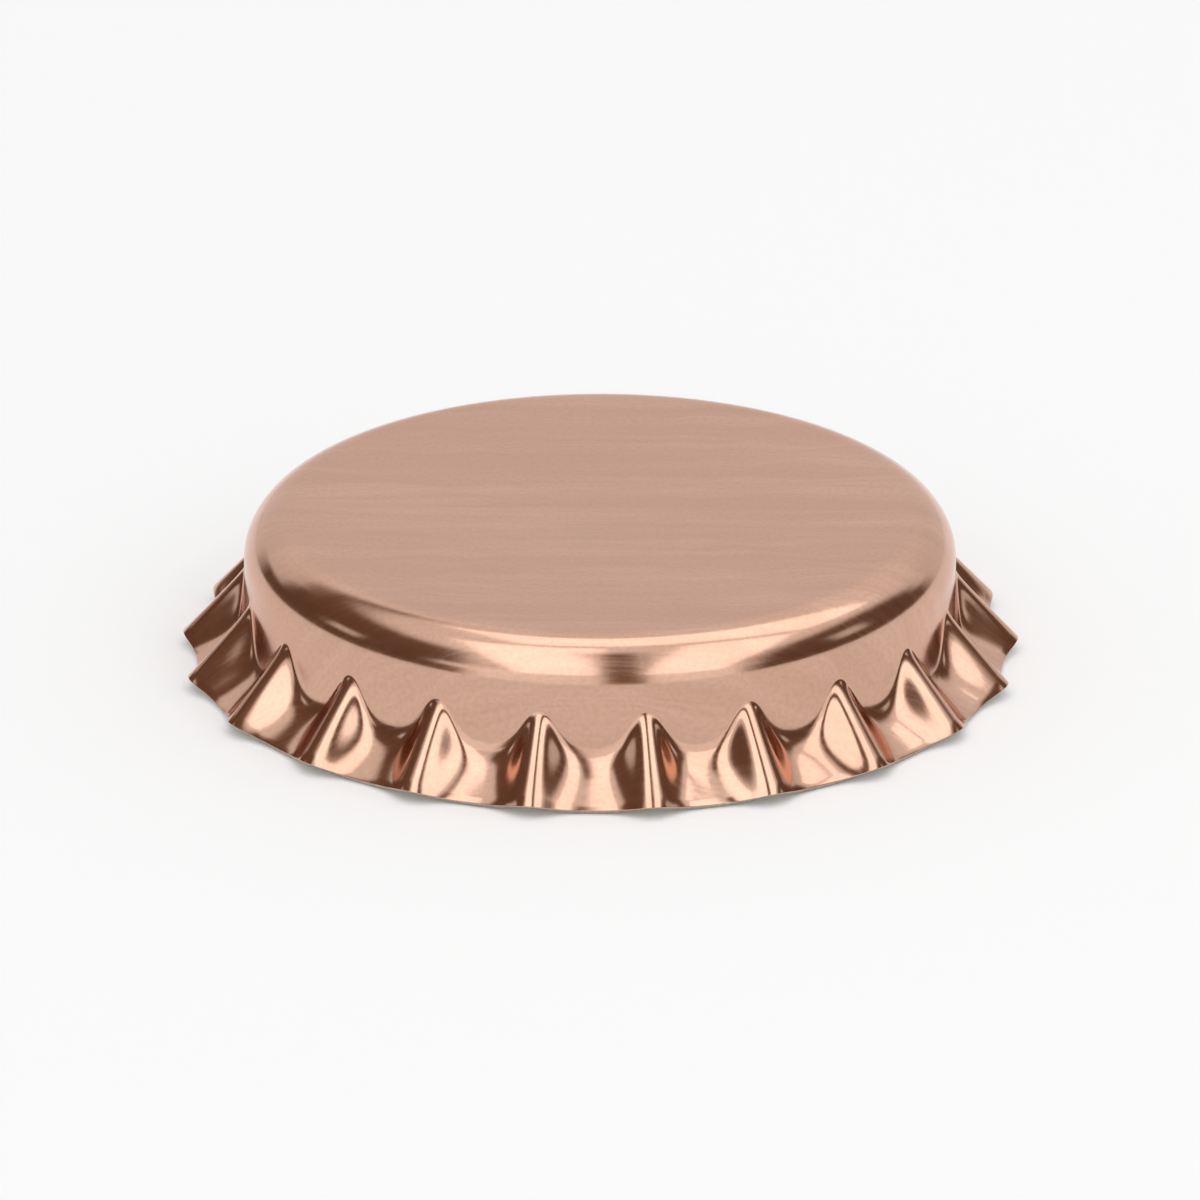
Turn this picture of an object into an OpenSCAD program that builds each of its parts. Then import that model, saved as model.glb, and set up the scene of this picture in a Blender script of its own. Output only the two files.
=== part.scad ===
// Crown cap: a pressed sheet shell with a fluted skirt, and the sealing liner moulded into it.
// The cap rests on its skirt with the panel up. The origin is on the surface it rests on, under
// the middle of the panel, and all lengths are in millimetres.

/* [Shell] */
// Thickness of the pressed sheet
sheet = 0.235; // [0.2:0.005:0.28]
// Height from the lowest edge of the skirt to the top of the panel
height = 6; // [5.8:0.05:6.5]
// Inside diameter of the plain band, which slips over a bottle's lip
band_bore = 26.75; // [26.4:0.05:27]
// Outside radius of the shoulder that turns the panel down into the band
shoulder_r = 1.8; // [1.5:0.05:2]
// Height at which the plain band ends and the flutes begin
band_end = 3.6; // [3:0.05:3.8]

/* [Flutes] */
// Number of flutes around the skirt
flutes = 21; // [18:1:24]
// Overall diameter across the crests, at the edge
crest_d = 32.1; // [31.4:0.05:32.6]
// Diameter of the outer face in the valleys, at the edge
valley_d = 30.9; // [30:0.05:31.3]
// Height by which the edge on a crest stands clear of the surface
crest_lift = 0.35; // [0.1:0.05:0.6]
// Drop from the band's end to the bend that throws a crest outward
crest_bend = 0.4; // [0.3:0.05:0.8]
// Drop from the band's end to the bend that throws a valley outward
valley_bend = 2.2; // [1.6:0.05:2.4]
// How narrow the crests are beside the scoops between them
narrowness = 1.7; // [1.4:0.1:2.4]
// How steep the flanks of a crest are beside its rounded top
steepness = 2.2; // [2:0.1:3]

/* [Liner] */
// Thickness of the film over the middle of the panel
film = 0.3; // [0.2:0.05:0.5]
// Radius at which the film thickens into the sealing pad
pad_start_r = 10.3; // [9.5:0.1:10.7]
// Thickness of the sealing pad at the panel
pad = 0.6; // [0.5:0.05:0.8]
// Radius of the circle on which the inner bead lies
inner_bead_at = 11.15; // [11:0.05:11.3]
// Radius of the inner bead's round section
inner_bead_r = 0.4; // [0.3:0.05:0.5]
// Radius of the round section of the outer lip, which seals in the corner
outer_lip_r = 0.45; // [0.35:0.05:0.5]
// How far the outer lip's centre hangs under the panel
outer_lip_drop = 0.75; // [0.6:0.05:0.9]
// Gap between the liner and the curve of the shoulder
liner_gap = 0.03; // [0.02:0.01:0.05]

/* [Hidden] */
$fn = 180;

// Resolution of the fluted skirt, around one flute and down the wall
steps = 12;
rows = 7;
// Degrees by which the points of a flute crowd towards its crest
crowding = 36;
// The skirt's upper end sits inside the band's metal, this far up and this far in from its faces
lap = 0.5;
inset = 0.01;
// The wall stays straight for this much below the band before a flute begins
lead = 0.05;
// Past the end of a shape that is cut away
over = 1;
// Turn that puts a crest on +Y and a valley on -Y
flute_turn = 90;

panel_under = height - sheet;
bore_r = band_bore / 2;
band_r = bore_r + sheet;
band_mid_r = bore_r + sheet / 2;
shoulder_at = [band_r - shoulder_r, height - shoulder_r];
shoulder_inner_r = shoulder_r - sheet;

flute_start = [band_mid_r, band_end - lead];
crest_edge = edge_of(crest_d, crest_lift, crest_bend);
valley_edge = edge_of(valley_d, 0, valley_bend);

function mix(from, to, share) = from + (to - from) * share;
function unit(v) = v / norm(v);

// Angle from upright of a straight wall that runs out by run over a drop
function flare(run, drop) = atan2(run, drop);
// From the middle of the sheet to the corners of an edge at that angle: outward, and down
function half_edge(angle) = sheet / 2 * [cos(angle), sin(angle)];
// Middle of the sheet at an edge whose outer corner lies on the diameter d and whose inner corner
// stands at the height lift, with the bend that far below the flute's start
function edge_of(d, lift, bend) =
    let (run = d / 2 - band_mid_r, drop = flute_start.y - bend - lift)
    let (near = half_edge(flare(run, drop)))
    let (corner = half_edge(flare(run - near.x, drop - near.y)))
    [d / 2 - corner.x, lift + corner.y];

// Position in a flute, in degrees, with the crest at 0 and the valleys at 180 on either side
function flute_phase(s) = 360 * s - crowding * sin(360 * s);
// 1 on a crest and 0 in a valley: narrow rounded crests with steep flanks, and wide valleys between
function crest_share(phase) = 1 / (1 + pow(narrowness * abs(tan(phase / 2)), steepness));

// Middle of the sheet in its upright plane, from the flute's start (t 0) past the bend, which draws
// it in from both sides, to the edge (t 1)
function wall_line(share, t) =
    let (bend = flute_start - [0, mix(valley_bend, crest_bend, share)])
    let (edge = mix(valley_edge, crest_edge, share))
    pow(1 - t, 3) * flute_start + 3 * t * (1 - t) * bend + pow(t, 3) * edge;

// The same in space, where s counts flutes around the skirt
function wall_point(s, t) =
    let (phase = flute_phase(s))
    let (at = wall_line(crest_share(phase), t))
    let (turn = phase / flutes)
    [at.x * cos(turn), at.x * sin(turn), at.y];

// Outward normal of the sheet
function wall_normal(s, t) =
    let (d = 0.002)
    unit(cross(wall_point(s, t + d) - wall_point(s, t - d), wall_point(s + d, t) - wall_point(s - d, t)));

// One face of the wall at one station, from inside the band down to the edge; side is 1 or -1
function wall_face(s, side) =
    let (start = wall_point(s, 0))
    let (out = side * (sheet / 2 - inset) * unit([start.x, start.y, 0]))
    concat([start + out + [0, 0, lead + lap], start + out],
        [for (j = [1:rows]) wall_point(s, j / rows) + side * sheet / 2 * wall_normal(s, j / rows)]);

function reversed(list) = [for (i = [len(list) - 1:-1:0]) list[i]];

// Closed loop of points around the wall's section at one station
function wall_section(s) = concat(wall_face(s, 1), reversed(wall_face(s, -1)));

// The two triangles between neighbouring sections; the diagonals mirror about each crest
function wall_cell(a, b, c, d, mirrored) = mirrored ? [[a, b, c], [a, c, d]] : [[a, b, d], [b, c, d]];

module fluted_skirt() {
    stations = flutes * steps;
    size = 2 * (rows + 2);
    points = [for (i = [0:stations - 1]) each wall_section(i / steps)];
    faces = [for (i = [0:stations - 1], k = [0:size - 1])
        let (here = i * size, next = (i + 1) % stations * size, below = (k + 1) % size)
        each wall_cell(here + k, next + k, next + below, here + below, i % steps < steps / 2)];
    rotate([0, 0, flute_turn]) polyhedron(points, faces);
}

// Half section filled under the shoulder, with its face at radius r and its top at top
module under_shoulder(r, top, corner_r) {
    square([r - corner_r, top]);
    square([r, shoulder_at.y]);
    translate(shoulder_at) circle(corner_r);
}

module panel_and_band() {
    rotate_extrude() difference() {
        under_shoulder(band_r, height, shoulder_r);
        under_shoulder(bore_r, panel_under, shoulder_inner_r);
        translate([0, band_end - height]) square([band_r + over, height]);
    }
}

module crown_shell() {
    color([0.80, 0.62, 0.54]) union() {
        panel_and_band();
        fluted_skirt();
    }
}

module sealing_liner() {
    corner_r = shoulder_inner_r - liner_gap;
    lip_at = [shoulder_at.x + corner_r - outer_lip_r, panel_under - outer_lip_drop];
    color([0.90, 0.89, 0.84]) rotate_extrude() {
        translate([0, panel_under - film]) square([pad_start_r + film, film]);
        intersection() {
            under_shoulder(bore_r - liner_gap, panel_under - liner_gap, corner_r);
            union() {
                translate([pad_start_r, panel_under - pad]) square([bore_r, pad]);
                translate([inner_bead_at, panel_under - pad]) circle(inner_bead_r);
                translate(lip_at) circle(outer_lip_r);
                translate([lip_at.x - outer_lip_r, lip_at.y]) square([bore_r, outer_lip_drop]);
            }
        }
    }
}

crown_shell();
sealing_liner();
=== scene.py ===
# Rose-gold crown cap with its sealing liner, resting on its skirt
import math

import bmesh
import bpy
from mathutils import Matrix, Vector


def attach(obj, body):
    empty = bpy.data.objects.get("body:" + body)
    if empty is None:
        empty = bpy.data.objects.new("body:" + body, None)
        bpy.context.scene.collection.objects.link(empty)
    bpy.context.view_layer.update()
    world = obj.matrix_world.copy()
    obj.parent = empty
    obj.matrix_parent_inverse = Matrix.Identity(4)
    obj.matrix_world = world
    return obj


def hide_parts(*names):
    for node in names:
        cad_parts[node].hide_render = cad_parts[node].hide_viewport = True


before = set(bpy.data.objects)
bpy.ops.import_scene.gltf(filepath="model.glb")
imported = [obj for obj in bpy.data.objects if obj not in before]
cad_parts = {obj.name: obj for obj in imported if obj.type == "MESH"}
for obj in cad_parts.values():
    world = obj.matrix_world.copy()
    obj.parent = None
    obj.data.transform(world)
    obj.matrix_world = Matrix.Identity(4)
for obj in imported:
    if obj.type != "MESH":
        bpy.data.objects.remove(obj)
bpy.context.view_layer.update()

mm = 0.001
upAxis = (0, 0, 1)
white = (1, 1, 1, 1)
root = "root"


def addObject(name, data):
    made = bpy.data.objects.new(name, data)
    bpy.context.scene.collection.objects.link(made)
    return made


# Unit vector from the cap to a place that many degrees round to the right of the front, and up
def wayTo(azimuth, elevation):
    turn, rise = math.radians(azimuth), math.radians(elevation)
    return Vector((math.sin(turn) * math.cos(rise), -math.cos(turn) * math.cos(rise), math.sin(rise)))


# Camera: a long lens over the cap

cameraSetup = {
    "elevation": 22.5,  # degrees above the table
    "azimuth": 1.2,  # degrees round to the right
    "distance": 0.95,  # metres from the cap
    "lens": 745,  # millimetres
    "aimHeight": 2.4 * mm,
    "clip": (0.01, 20),  # metres between which it sees
}


def placeCamera(setup):
    camera = addObject("photoCamera", bpy.data.cameras.new("photoCamera"))
    back = wayTo(setup["azimuth"], setup["elevation"])
    camera.location = Vector((0, 0, setup["aimHeight"])) + back * setup["distance"]
    camera.rotation_mode = "QUATERNION"
    camera.rotation_quaternion = (-back).to_track_quat("-Z", "Y")
    camera.data.lens = setup["lens"]
    camera.data.clip_start, camera.data.clip_end = setup["clip"]
    bpy.context.scene.camera = camera


placeCamera(cameraSetup)
bpy.context.scene.view_settings.view_transform = "Standard"
print("stage: camera placed")


# Short ways to make and join shader nodes

def addNode(tree, kind, **values):
    node = tree.nodes.new(kind)
    for name, value in values.items():
        setattr(node, name, value)
    return node


# Gives each named or numbered input its value, which is a constant or another node's output
def feed(tree, node, values):
    for label, value in values.items():
        if isinstance(value, bpy.types.NodeSocket):
            tree.links.new(value, node.inputs[label])
        else:
            node.inputs[label].default_value = value


def mathNode(tree, operation, *values):
    node = addNode(tree, "ShaderNodeMath", operation=operation)
    feed(tree, node, dict(enumerate(values)))
    return node.outputs[0]


def both(tree, first, second):
    return mathNode(tree, "MULTIPLY", first, second)


def either(tree, first, second):
    return mathNode(tree, "MAXIMUM", first, second)


# Goes softly from start to end while the value crosses the span
def mapRange(tree, value, span, start=0.0, end=1.0):
    node = addNode(tree, "ShaderNodeMapRange", interpolation_type="SMOOTHSTEP")
    low, high = span
    feed(tree, node, {"Value": value, "From Min": low, "From Max": high, "To Min": start, "To Max": end})
    return node.outputs[0]


def fadeOut(tree, value, span):
    return mapRange(tree, value, span, 1.0, 0.0)


def mixColour(tree, share, first, second):
    node = addNode(tree, "ShaderNodeMix", data_type="RGBA")
    feed(tree, node, {0: share, 6: first, 7: second})  # the share and the two colour inputs
    return node.outputs[2]


# Cloudy noise with that many repeats along each axis and that many layers of finer detail
def stretchedNoise(tree, vector, repeats, detail):
    stretch = addNode(tree, "ShaderNodeVectorMath", operation="MULTIPLY")
    feed(tree, stretch, {0: vector, 1: repeats})
    noise = addNode(tree, "ShaderNodeTexNoise")
    feed(tree, noise, {"Vector": stretch.outputs[0], "Scale": 1.0, "Detail": detail, "Roughness": 0.55})
    return noise.outputs["Fac"]


def addBump(tree, height, depth):
    bump = addNode(tree, "ShaderNodeBump")
    feed(tree, bump, {"Height": height, "Distance": depth, "Strength": 1.0})
    return bump


def newMaterial(name):
    material = bpy.data.materials.new(name)
    material.use_nodes = True
    return material, material.node_tree, material.node_tree.nodes["Principled BSDF"]


# Marks that rolling leaves in sheet, drawn out along x

rollingMarks = {  # repeats in the width of a blank along x, y and z, and the detail
    "fineStreaks": ((9.0, 320.0, 1.0), 3.0),
    "coarseStreaks": ((2.5, 70.0, 1.0), 2.0),
    "bands": ((1.6, 22.0, 1.0), 2.0),
    "mottle": ((7.0, 7.0, 1.0), 2.0),
    "speckle": ((240.0, 240.0, 1.0), 2.0),
    "ripple": ((14.0, 14.0, 1.0), 1.0),
    "coarseShare": 0.45,  # of the streaks
    "speckleShare": 0.35,  # of the height
}


def makeRolledGrain(marks):
    group = bpy.data.node_groups.new("rolledGrain", "ShaderNodeTree")
    group.interface.new_socket(name="Vector", in_out="INPUT", socket_type="NodeSocketVector")
    for label in ("Streaks", "Bands", "Mottle", "Speckle", "Height", "Ripple"):
        group.interface.new_socket(name=label, in_out="OUTPUT", socket_type="NodeSocketFloat")
    given = addNode(group, "NodeGroupInput")
    made = addNode(group, "NodeGroupOutput")

    def mark(name):
        return stretchedNoise(group, given.outputs["Vector"], *marks[name])

    def blend(share, first, second):
        return mathNode(group, "MULTIPLY_ADD", first, share, mathNode(group, "MULTIPLY", second, 1 - share))

    streaks = blend(marks["coarseShare"], mark("coarseStreaks"), mark("fineStreaks"))
    speckle = mark("speckle")
    feed(group, made, {
        "Streaks": streaks,
        "Bands": mark("bands"),
        "Mottle": mark("mottle"),
        "Speckle": speckle,
        "Height": blend(marks["speckleShare"], speckle, streaks),
        "Ripple": mark("ripple"),
    })
    return group


rolledGrain = makeRolledGrain(rollingMarks)


# Sheet finishes: metal whose colour and roughness drift with the grain, with or without a clear coat

roseGoldLacquer = {
    "colour": (0.645, 0.387, 0.277, 1),
    "drift": (0.605, 0.365, 0.264, 1),
    "edgeTint": (1, 0.85, 0.8, 1),
    "Streaks": ((0.75, 0.47, 0.352, 1), 0.5),  # a mark's colour and its strength
    "Bands": ((0.595, 0.350, 0.246, 1), 0.8),
    "Speckle": ((0.42, 0.25, 0.18, 1), 0.18),
    "roughness": 0.12,
    "roughnessSpread": 0.07,
    "clearCoat": 0.35,
    "grainDepth": 0.0007 * mm,
    "rippleDepth": 0.012 * mm,
}
goldInnerLacquer = {
    "colour": (0.60, 0.47, 0.22, 1),
    "drift": (0.56, 0.45, 0.23, 1),
    "edgeTint": (1, 0.9, 0.8, 1),
    "Streaks": ((0.68, 0.56, 0.30, 1), 0.35),
    "Bands": ((0.55, 0.43, 0.19, 1), 0.5),
    "Speckle": ((0.46, 0.35, 0.15, 1), 0.2),
    "roughness": 0.24,
    "roughnessSpread": 0.08,
    "clearCoat": 0.35,
    "grainDepth": 0.0004 * mm,
    "rippleDepth": 0.012 * mm,
}
shearedEdge = {
    "colour": (0.52, 0.42, 0.37, 1),
    "drift": (0.46, 0.38, 0.34, 1),
    "edgeTint": white,
    "Streaks": ((0.62, 0.55, 0.50, 1), 0.5),
    "Bands": ((0.48, 0.38, 0.33, 1), 0.5),
    "Speckle": ((0.36, 0.28, 0.24, 1), 0.4),
    "roughness": 0.34,
    "roughnessSpread": 0.12,
    "clearCoat": 0.0,
    "grainDepth": 0.0008 * mm,
    "rippleDepth": 0.004 * mm,
}
markSpans = {  # the noise values over which a mark comes in
    "Streaks": (0.3, 0.7),
    "Bands": (0.35, 0.65),
    "Mottle": (0.3, 0.7),
    "Speckle": (0.4, 0.65),
}


def makeSheetMaterial(name, setup):
    material, tree, shader = newMaterial(name)
    grain = addNode(tree, "ShaderNodeGroup", node_tree=rolledGrain)
    blank = addNode(tree, "ShaderNodeUVMap", uv_map="blank")
    feed(tree, grain, {"Vector": blank.outputs["UV"]})
    share = {label: mapRange(tree, grain.outputs[label], span) for label, span in markSpans.items()}
    colour = mixColour(tree, share["Mottle"], setup["colour"], setup["drift"])
    for label in ("Streaks", "Bands", "Speckle"):
        markColour, strength = setup[label]
        colour = mixColour(tree, mathNode(tree, "MULTIPLY", share[label], strength), colour, markColour)
    rough = mathNode(tree, "MULTIPLY_ADD", share["Streaks"], setup["roughnessSpread"], setup["roughness"])
    ripple = addBump(tree, grain.outputs["Ripple"], setup["rippleDepth"])
    relief = addBump(tree, grain.outputs["Height"], setup["grainDepth"])
    feed(tree, relief, {"Normal": ripple.outputs["Normal"]})
    feed(tree, shader, {
        "Base Color": colour,
        "Metallic": 1.0,
        "Roughness": rough,
        "Specular Tint": setup["edgeTint"],
        "Coat Weight": setup["clearCoat"],
        "Coat Roughness": 0.08,
        "Normal": relief.outputs["Normal"],
    })
    return material


outerFinish = makeSheetMaterial("roseGoldLacquer", roseGoldLacquer)
innerFinish = makeSheetMaterial("goldInnerLacquer", goldInnerLacquer)
edgeFinish = makeSheetMaterial("shearedEdge", shearedEdge)
print("stage: sheet materials made")


# Milky moulded compound: cloudy, with a faint orange peel, and light passes a little way in

milkyCompound = {
    "colour": (0.80, 0.78, 0.70, 1),
    "drift": (0.74, 0.73, 0.67, 1),
    "cloud": ((420, 420, 420), 2.0),  # repeats in a metre, and the detail
    "cloudSpan": (0.3, 0.7),
    "roughness": 0.34,
    "roughnessSpread": 0.12,
    "peel": ((3600, 3600, 3600), 2.0),
    "peelDepth": 0.003 * mm,
    "depthShare": 0.2,
    "depth": (0.5 * mm, 0.45 * mm, 0.35 * mm),
}


def makeCompoundMaterial(setup):
    material, tree, shader = newMaterial("milkyCompound")
    place = addNode(tree, "ShaderNodeTexCoord").outputs["Object"]
    cloud = mapRange(tree, stretchedNoise(tree, place, *setup["cloud"]), setup["cloudSpan"])
    peel = addBump(tree, stretchedNoise(tree, place, *setup["peel"]), setup["peelDepth"])
    feed(tree, shader, {
        "Base Color": mixColour(tree, cloud, setup["colour"], setup["drift"]),
        "Roughness": mathNode(tree, "MULTIPLY_ADD", cloud, setup["roughnessSpread"], setup["roughness"]),
        "IOR": 1.5,
        "Subsurface Weight": setup["depthShare"],
        "Subsurface Radius": setup["depth"],
        "Normal": peel.outputs["Normal"],
    })
    return material


linerCompound = makeCompoundMaterial(milkyCompound)
print("stage: liner material made")


# Chains of points in the upright plane y = 0, in millimetres, which are then spun round the cap's axis

def lineTo(bm, start, r, z, steps=1):
    for remaining in range(steps, 0, -1):
        end = bmesh.ops.extrude_vert_indiv(bm, verts=[start])["verts"][0]
        end.co = start.co + (Vector((r, 0, z)) - start.co) / remaining
        start = end
    return start


def arcRound(bm, start, centre, degrees, steps):
    turned = bmesh.ops.spin(bm, geom=[start], cent=(centre[0], 0, centre[1]), axis=(0, 1, 0),
                            angle=math.radians(degrees), steps=steps, use_duplicate=False)
    return [item for item in turned["geom_last"] if isinstance(item, bmesh.types.BMVert)][0]


touching = 1e-4  # points that lie closer are merged


def spinWhole(bm, steps):
    bmesh.ops.spin(bm, geom=bm.verts[:] + bm.edges[:], cent=(0, 0, 0), axis=upAxis,
                   angle=2 * math.pi, steps=steps, use_merge=True)
    bmesh.ops.remove_doubles(bm, verts=bm.verts, dist=touching)


# Turns a mesh that was built in millimetres into a finished piece in metres
def finishPiece(name, bm, materials, modifiers):
    mesh = bpy.data.meshes.new(name + "Build")
    bm.to_mesh(mesh)
    bm.free()
    for material in materials:
        mesh.materials.append(material)
    builder = addObject(name + "Build", mesh)
    for kind, values in modifiers:
        modifier = builder.modifiers.new(kind.lower(), kind)
        for label, value in values.items():
            setattr(modifier, label, value)
    depsgraph = bpy.context.evaluated_depsgraph_get()
    finished = bpy.data.meshes.new_from_object(builder.evaluated_get(depsgraph), depsgraph=depsgraph)
    bpy.data.objects.remove(builder)
    bpy.data.meshes.remove(mesh)
    scaled = bmesh.new()
    scaled.from_mesh(finished)
    bmesh.ops.scale(scaled, vec=(mm, mm, mm), verts=scaled.verts)
    for face in scaled.faces:
        face.smooth = True
    scaled.to_mesh(finished)
    scaled.free()
    finished.name = name
    piece = addObject(name, finished)
    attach(piece, root)
    print("piece:", name, len(finished.polygons), "faces")
    return piece


# Pressed shell: panel, shoulder, plain band and fluted skirt, in millimetres

pressedShell = {
    "sheet": 0.235,
    "height": 6.0,
    "bandRadius": 13.61,
    "shoulder": 1.8,
    "fluteStart": 3.55,
    "flutes": 21,
    "crestRadius": 16.05,
    "valleyRadius": 15.45,
    "crestLift": 0.35,
    "crestBend": 0.4,  # drop from the flutes' start to the bend that throws a crest outward
    "valleyBend": 2.2,
    "narrowness": 1.7,
    "steepness": 2.2,
    "crowding": 0.63,  # radians by which a flute's points gather at its crest
    "panelDish": 0.03,
    "burr": 0.03,  # rounding of the cut edge
    "burrSteps": 2,
    "burrAngle": 60,  # degrees past which an edge counts as cut
    "panelRings": (0.3, 0.55, 0.75, 0.88, 0.95, 1.0),  # shares of the flat panel's radius
    "shoulderSteps": 16,
    "bandSteps": 4,
    "skirtSteps": 22,
    "stepsPerFlute": 32,
    "blankWidth": 40,  # of the flat sheet that the grain is laid over
}


# How far the panel, and the liner's film under it, sink towards the middle
def dishAt(cap, r):
    share = min(1, r / (cap["bandRadius"] - cap["shoulder"]))
    return cap["panelDish"] * (1 - share ** 2) ** 2


# Middle of the sheet along the profile, with the skirt still straight
def shellProfile(bm, cap):
    half = cap["sheet"] / 2
    shoulderAt = (cap["bandRadius"] - cap["shoulder"], cap["height"] - cap["shoulder"])
    top = cap["height"] - half
    start = bm.verts.new((0, 0, top - cap["panelDish"]))
    for share in cap["panelRings"]:
        r = shoulderAt[0] * share
        start = lineTo(bm, start, r, top - dishAt(cap, r))
    start = arcRound(bm, start, shoulderAt, 90, cap["shoulderSteps"])
    start = lineTo(bm, start, cap["bandRadius"] - half, cap["fluteStart"], cap["bandSteps"])
    lineTo(bm, start, cap["bandRadius"] - half, 0, cap["skirtSteps"])


# Middle of the sheet at an edge whose outer corner lies at the radius and whose inner one at the lift
def edgeOf(cap, radius, lift, bend):
    half = cap["sheet"] / 2
    run = radius - (cap["bandRadius"] - half)
    drop = cap["fluteStart"] - bend - lift
    corner = Vector((0, 0))
    for settling in range(3):  # the wall's lean and its corner depend on each other
        lean = math.atan2(run - corner.x, drop - corner.y)
        corner = Vector((half * math.cos(lean), half * math.sin(lean)))
    return Vector((radius - corner.x, lift + corner.y))


# Where the straight skirt goes when the flutes are pressed: depth is 0 at their start and 1 at the edge
def pressFlute(cap, turn, depth):
    phase = cap["flutes"] * turn
    phase -= cap["crowding"] * math.sin(phase)
    crest = 1 / (1 + abs(cap["narrowness"] * math.tan(phase / 2)) ** cap["steepness"])
    start = Vector((cap["bandRadius"] - cap["sheet"] / 2, cap["fluteStart"]))
    bend = start - Vector((0, cap["valleyBend"] + (cap["crestBend"] - cap["valleyBend"]) * crest))
    valleyEdge = edgeOf(cap, cap["valleyRadius"], 0, cap["valleyBend"])
    crestEdge = edgeOf(cap, cap["crestRadius"], cap["crestLift"], cap["crestBend"])
    edge = valleyEdge.lerp(crestEdge, crest)
    place = start * (1 - depth) ** 3 + bend * 3 * depth * (1 - depth) + edge * depth ** 3
    return place, phase / cap["flutes"]


# Each point remembers its place on the flat blank, so that the rolling marks run through the form
def layBlank(bm, cap):
    blank = bm.loops.layers.uv.new("blank")
    flat = cap["bandRadius"] - cap["shoulder"]
    bendRadius = cap["shoulder"] - cap["sheet"] / 2
    shoulderHeight = cap["height"] - cap["shoulder"]
    middle = Vector((0.5, 0.5))
    for face in bm.faces:
        for loop in face.loops:
            place = loop.vert.co.xy
            r = reach = place.length
            if r > flat:
                drop = shoulderHeight - loop.vert.co.z
                rise = min(1, max(0, -drop / bendRadius))
                reach = flat + bendRadius * math.acos(rise) + max(0, drop)
            stretch = reach / r if r > 0 else 1
            loop[blank].uv = middle + place * (stretch / cap["blankWidth"])


def makeShell(cap):
    bm = bmesh.new()
    shellProfile(bm, cap)
    spinWhole(bm, cap["flutes"] * cap["stepsPerFlute"])
    layBlank(bm, cap)
    bmesh.ops.recalc_face_normals(bm, faces=bm.faces)
    # An open shell can come out with its faces inward
    if max(bm.faces, key=lambda face: face.calc_center_median().z).normal.z < 0:
        bmesh.ops.reverse_faces(bm, faces=bm.faces)
    quarter = math.pi / 2  # puts a crest on +Y
    for vert in bm.verts:
        r = vert.co.xy.length
        depth = max(0, 1 - vert.co.z / cap["fluteStart"])
        place, angle = pressFlute(cap, math.atan2(vert.co.y, vert.co.x) - quarter, depth)
        if depth > 0:
            r, vert.co.z = place
        vert.co.x = r * math.cos(angle + quarter)
        vert.co.y = r * math.sin(angle + quarter)
    return finishPiece("pressedShell", bm, [outerFinish, innerFinish, edgeFinish], [
        ("SOLIDIFY", {"thickness": cap["sheet"], "offset": 0, "use_even_offset": True,
                      "material_offset": 1, "material_offset_rim": 2}),
        ("BEVEL", {"width": cap["burr"], "segments": cap["burrSteps"], "limit_method": "ANGLE",
                   "angle_limit": math.radians(cap["burrAngle"]), "material": -1})])


shell = makeShell(pressedShell)
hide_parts("crown_shell")
print("stage: shell pressed")


# Moulded liner: film, sealing pad with a round inner bead, and outer lip in the corner, in millimetres

mouldedLiner = {
    "gap": 0.03,
    "film": 0.3,
    "padStart": 10.3,
    "pad": 0.6,
    "beadAt": 11.15,
    "beadRadius": 0.4,
    "lipRadius": 0.45,
    "lipDrop": 0.75,
    "softCorner": 0.06,
    "softCornerSteps": 3,
    "softCornerAngle": 35,  # degrees past which a corner is softened
    "filmRings": (0.25, 0.5, 0.7, 0.85, 1.0),  # shares of the film's radius
    "padSteps": 2,
    "beadSteps": 16,
    "valleySteps": 3,  # between the bead and the lip
    "lipSteps": 14,
    "cornerSteps": 8,
    "stepsRound": 240,
}


def linerProfile(bm, liner, cap):
    panelUnder = cap["height"] - cap["sheet"]
    corner = Vector((cap["bandRadius"] - cap["shoulder"], cap["height"] - cap["shoulder"]))
    cornerRadius = cap["shoulder"] - cap["sheet"] - liner["gap"]
    lip = Vector((corner.x + cornerRadius - liner["lipRadius"], panelUnder - liner["lipDrop"]))
    padUnder = panelUnder - liner["pad"]
    start = bm.verts.new((0, 0, panelUnder - liner["film"] - cap["panelDish"]))
    for share in liner["filmRings"]:
        r = liner["padStart"] * share
        start = lineTo(bm, start, r, panelUnder - liner["film"] - dishAt(cap, r))
    start = lineTo(bm, start, liner["padStart"], padUnder, liner["padSteps"])
    start = lineTo(bm, start, liner["beadAt"] - liner["beadRadius"], padUnder, liner["padSteps"])
    start = arcRound(bm, start, (liner["beadAt"], padUnder), -180, liner["beadSteps"])
    start = lineTo(bm, start, lip.x - liner["lipRadius"], padUnder, liner["valleySteps"])
    start = lineTo(bm, start, lip.x - liner["lipRadius"], lip.y)
    # The lip ends where its round section meets the shell's corner
    apart = (lip - corner).length
    along = (cornerRadius ** 2 - liner["lipRadius"] ** 2 + apart ** 2) / (2 * apart)
    toLip = (lip - corner) / apart
    aside = Vector((toLip.y, -toLip.x)) * math.sqrt(cornerRadius ** 2 - along ** 2)
    meeting = corner + toLip * along + aside
    lipTurn = 180 + math.degrees(math.atan2(meeting.y - lip.y, meeting.x - lip.x))
    cornerTurn = 90 - math.degrees(math.atan2(meeting.y - corner.y, meeting.x - corner.x))
    start = arcRound(bm, start, lip, -lipTurn, liner["lipSteps"])
    start = arcRound(bm, start, corner, -cornerTurn, liner["cornerSteps"])
    for share in (*reversed(liner["filmRings"]), 0.0):
        r = liner["padStart"] * share
        start = lineTo(bm, start, r, panelUnder - liner["gap"] - dishAt(cap, r))


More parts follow.
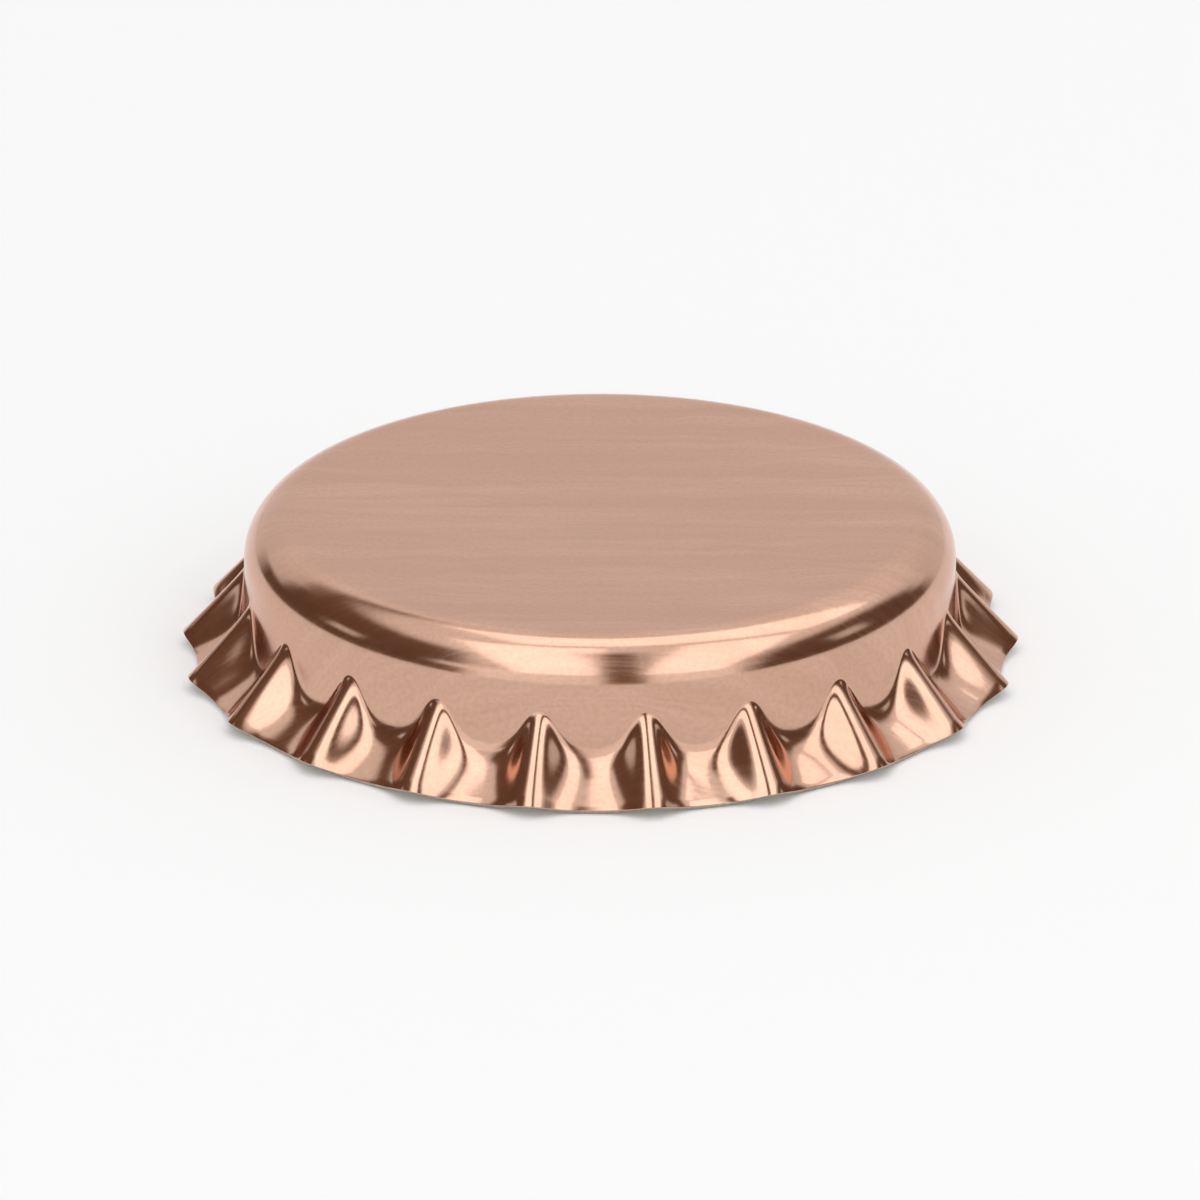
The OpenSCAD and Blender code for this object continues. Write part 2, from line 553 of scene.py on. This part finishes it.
def makeLiner(liner, cap):
    bm = bmesh.new()
    linerProfile(bm, liner, cap)
    spinWhole(bm, liner["stepsRound"])
    bmesh.ops.recalc_face_normals(bm, faces=bm.faces)
    return finishPiece("mouldedLiner", bm, [linerCompound], [
        ("BEVEL", {"width": liner["softCorner"], "segments": liner["softCornerSteps"],
                   "limit_method": "ANGLE", "angle_limit": math.radians(liner["softCornerAngle"])})])


liner = makeLiner(mouldedLiner, pressedShell)
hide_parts("sealing_liner")
print("stage: liner moulded")


# Studio: floor, world and lamps

studio = {
    "floorRadius": 3.0,
    "floorSides": 64,
    "floorColour": (0.86, 0.86, 0.86, 1),
    "floorRoughness": 0.9,
    "floorShine": 0.1,
    "floorLift": 0.16,  # light that only the camera and reflections see in the floor
    "worldLight": 0.6,
    "wallLight": 0.8,  # what metal sees near the horizon, where the ceiling is 1
    "wallTop": (0.3, 0.7),  # z of the unit vector to where the wall turns into the ceiling
    "frontFill": 0.4,  # how much brighter the wall is low down in front
    "fillBack": (-0.75, -0.55),  # y, and below it z, of the unit vector to where that ends
    "fillTop": (0.3, 0.5),
}


# 1 for what the camera, metal and glass see, and 0 for what lights the cap and the floor
def seenDirectly(tree, path):
    seen = either(tree, path.outputs["Is Camera Ray"], path.outputs["Is Glossy Ray"])
    return either(tree, seen, path.outputs["Is Transmission Ray"])


def makeFloor(setup):
    bm = bmesh.new()
    bmesh.ops.create_circle(bm, cap_ends=True, segments=setup["floorSides"], radius=setup["floorRadius"])
    mesh = bpy.data.meshes.new("paleFloor")
    bm.to_mesh(mesh)
    bm.free()
    floor = addObject("paleFloor", mesh)
    material, tree, shader = newMaterial("palePaper")
    seen = seenDirectly(tree, addNode(tree, "ShaderNodeLightPath"))
    feed(tree, shader, {
        "Base Color": setup["floorColour"],
        "Roughness": setup["floorRoughness"],
        "Specular IOR Level": setup["floorShine"],
        "Emission Color": white,
        "Emission Strength": mathNode(tree, "MULTIPLY", seen, setup["floorLift"]),
    })
    mesh.materials.append(material)


# Warm dark screens that only metal sees, low down on both sides and in a slit between the front lamps

screens = {  # each pair says where an edge fades, by x, y or z of the unit vector that points there
    "colour": (0.19, 0.11, 0.07, 1),
    "besideNear": (0.08, 0.14),  # y, to the front and to the back alike
    "besideFar": (0.52, 0.62),
    "besideTop": (0.5, 0.6),
    "footTop": (0.2, 0.28),
    "footBack": (0.68, 0.84),
    "leftSlant": 0.35,  # how far the left screens' inner edge moves left for its way forward
    "leftInner": (0.32, 0.50),
    "leftHighFoot": (0.34, 0.40),
    "leftHighTop": (0.70, 0.82),
    "leftHighLean": 0.9,  # how far the high left screen's back edge moves back for its way up
    "leftHighBack": (-0.02, 0.2),
    "rightInner": (0.68, 0.82),
    "rightHighFoot": (0.36, 0.46),
    "rightHighTop": (0.56, 0.70),
    "slitSlant": 0.16,  # how far the slit moves right for its way forward
    "slitSides": (0.06, 0.16),
    "slitBack": (-0.3, -0.1),
}


def makeScreens(tree, way, setup):
    x, y, z = way
    aside = mathNode(tree, "ABSOLUTE", y)
    beside = both(tree, mapRange(tree, aside, setup["besideNear"]), fadeOut(tree, aside, setup["besideFar"]))
    beside = both(tree, beside, fadeOut(tree, z, setup["besideTop"]))
    foot = both(tree, fadeOut(tree, z, setup["footTop"]), fadeOut(tree, y, setup["footBack"]))
    low = either(tree, beside, foot)

    leftward = mathNode(tree, "MULTIPLY_ADD", y, setup["leftSlant"], mathNode(tree, "MULTIPLY", x, -1.0))
    behind = mathNode(tree, "MULTIPLY_ADD", z, -setup["leftHighLean"], y)
    high = both(tree, mapRange(tree, z, setup["leftHighFoot"]), fadeOut(tree, z, setup["leftHighTop"]))
    high = both(tree, high, fadeOut(tree, behind, setup["leftHighBack"]))
    left = both(tree, mapRange(tree, leftward, setup["leftInner"]), either(tree, low, high))

    high = both(tree, mapRange(tree, z, setup["rightHighFoot"]), fadeOut(tree, z, setup["rightHighTop"]))
    right = both(tree, mapRange(tree, x, setup["rightInner"]), either(tree, low, high))

    across = mathNode(tree, "ABSOLUTE", mathNode(tree, "MULTIPLY_ADD", y, setup["slitSlant"], x))
    slit = both(tree, fadeOut(tree, across, setup["slitSides"]), fadeOut(tree, y, setup["slitBack"]))
    return either(tree, either(tree, left, right), slit)


# The light on the cap is even, and what metal sees has walls, a ceiling, a fill in front and the screens
def makeWorld(setup):
    world = bpy.data.worlds.new("softStudio")
    bpy.context.scene.world = world
    world.use_nodes = True
    tree = world.node_tree
    light = tree.nodes["Background"]
    feed(tree, light, {"Color": white, "Strength": setup["worldLight"]})
    path = addNode(tree, "ShaderNodeLightPath")
    byCamera = path.outputs["Is Camera Ray"]
    way = addNode(tree, "ShaderNodeSeparateXYZ")
    feed(tree, way, {0: addNode(tree, "ShaderNodeTexCoord").outputs["Generated"]})
    y, z = way.outputs["Y"], way.outputs["Z"]
    dark = both(tree, makeScreens(tree, way.outputs, screens), mathNode(tree, "SUBTRACT", 1.0, byCamera))
    fill = both(tree, fadeOut(tree, y, setup["fillBack"]), fadeOut(tree, z, setup["fillTop"]))
    wall = mapRange(tree, z, setup["wallTop"], setup["wallLight"], 1.0)
    wall = mathNode(tree, "MULTIPLY_ADD", fill, setup["frontFill"], wall)
    # The camera itself sees plain white behind everything
    wall = mathNode(tree, "MULTIPLY_ADD", mathNode(tree, "SUBTRACT", 1.0, wall), byCamera, wall)
    shown = addNode(tree, "ShaderNodeBackground")
    feed(tree, shown, {"Color": mixColour(tree, dark, white, screens["colour"]), "Strength": wall})
    mix = addNode(tree, "ShaderNodeMixShader")
    feed(tree, mix, {0: seenDirectly(tree, path), 1: light.outputs[0], 2: shown.outputs[0]})
    feed(tree, tree.nodes["World Output"], {"Surface": mix.outputs[0]})


# Soft boxes that face the cap, in degrees and metres

softBoxes = {
    "overheadBox": {
        "azimuth": 180, "elevation": 70, "distance": 0.70, "aside": 0.22,
        "width": 0.76, "height": 0.32,
        "radiance": 0.9,  # what a mirror shows of the box on top of the wall behind it, where 1 is white
    },
    "frontLeftBox": {
        "azimuth": 0, "elevation": 57, "distance": 0.80, "aside": -0.21,
        "width": 0.44, "height": 1.10,
        "radiance": 0.95,
    },
    "frontRightBox": {
        "azimuth": 0, "elevation": 57, "distance": 0.80, "aside": 0.50,
        "width": 0.54, "height": 1.10,
        "radiance": 0.9,
    },
}


def addSoftBox(name, setup):
    lamp = bpy.data.lights.new(name, "AREA")
    lamp.shape = "RECTANGLE"
    lamp.size, lamp.size_y = setup["width"], setup["height"]
    lamp.energy = setup["radiance"] * math.pi * setup["width"] * setup["height"]
    box = addObject(name, lamp)
    away = wayTo(setup["azimuth"], setup["elevation"])
    box.location = away * setup["distance"] + Vector((setup["aside"], 0, 0))
    box.rotation_mode = "QUATERNION"
    box.rotation_quaternion = away.to_track_quat("Z", "Y")
    box.visible_camera = False


makeFloor(studio)
makeWorld(studio)
for name, setup in softBoxes.items():
    addSoftBox(name, setup)
print("stage: studio lit")
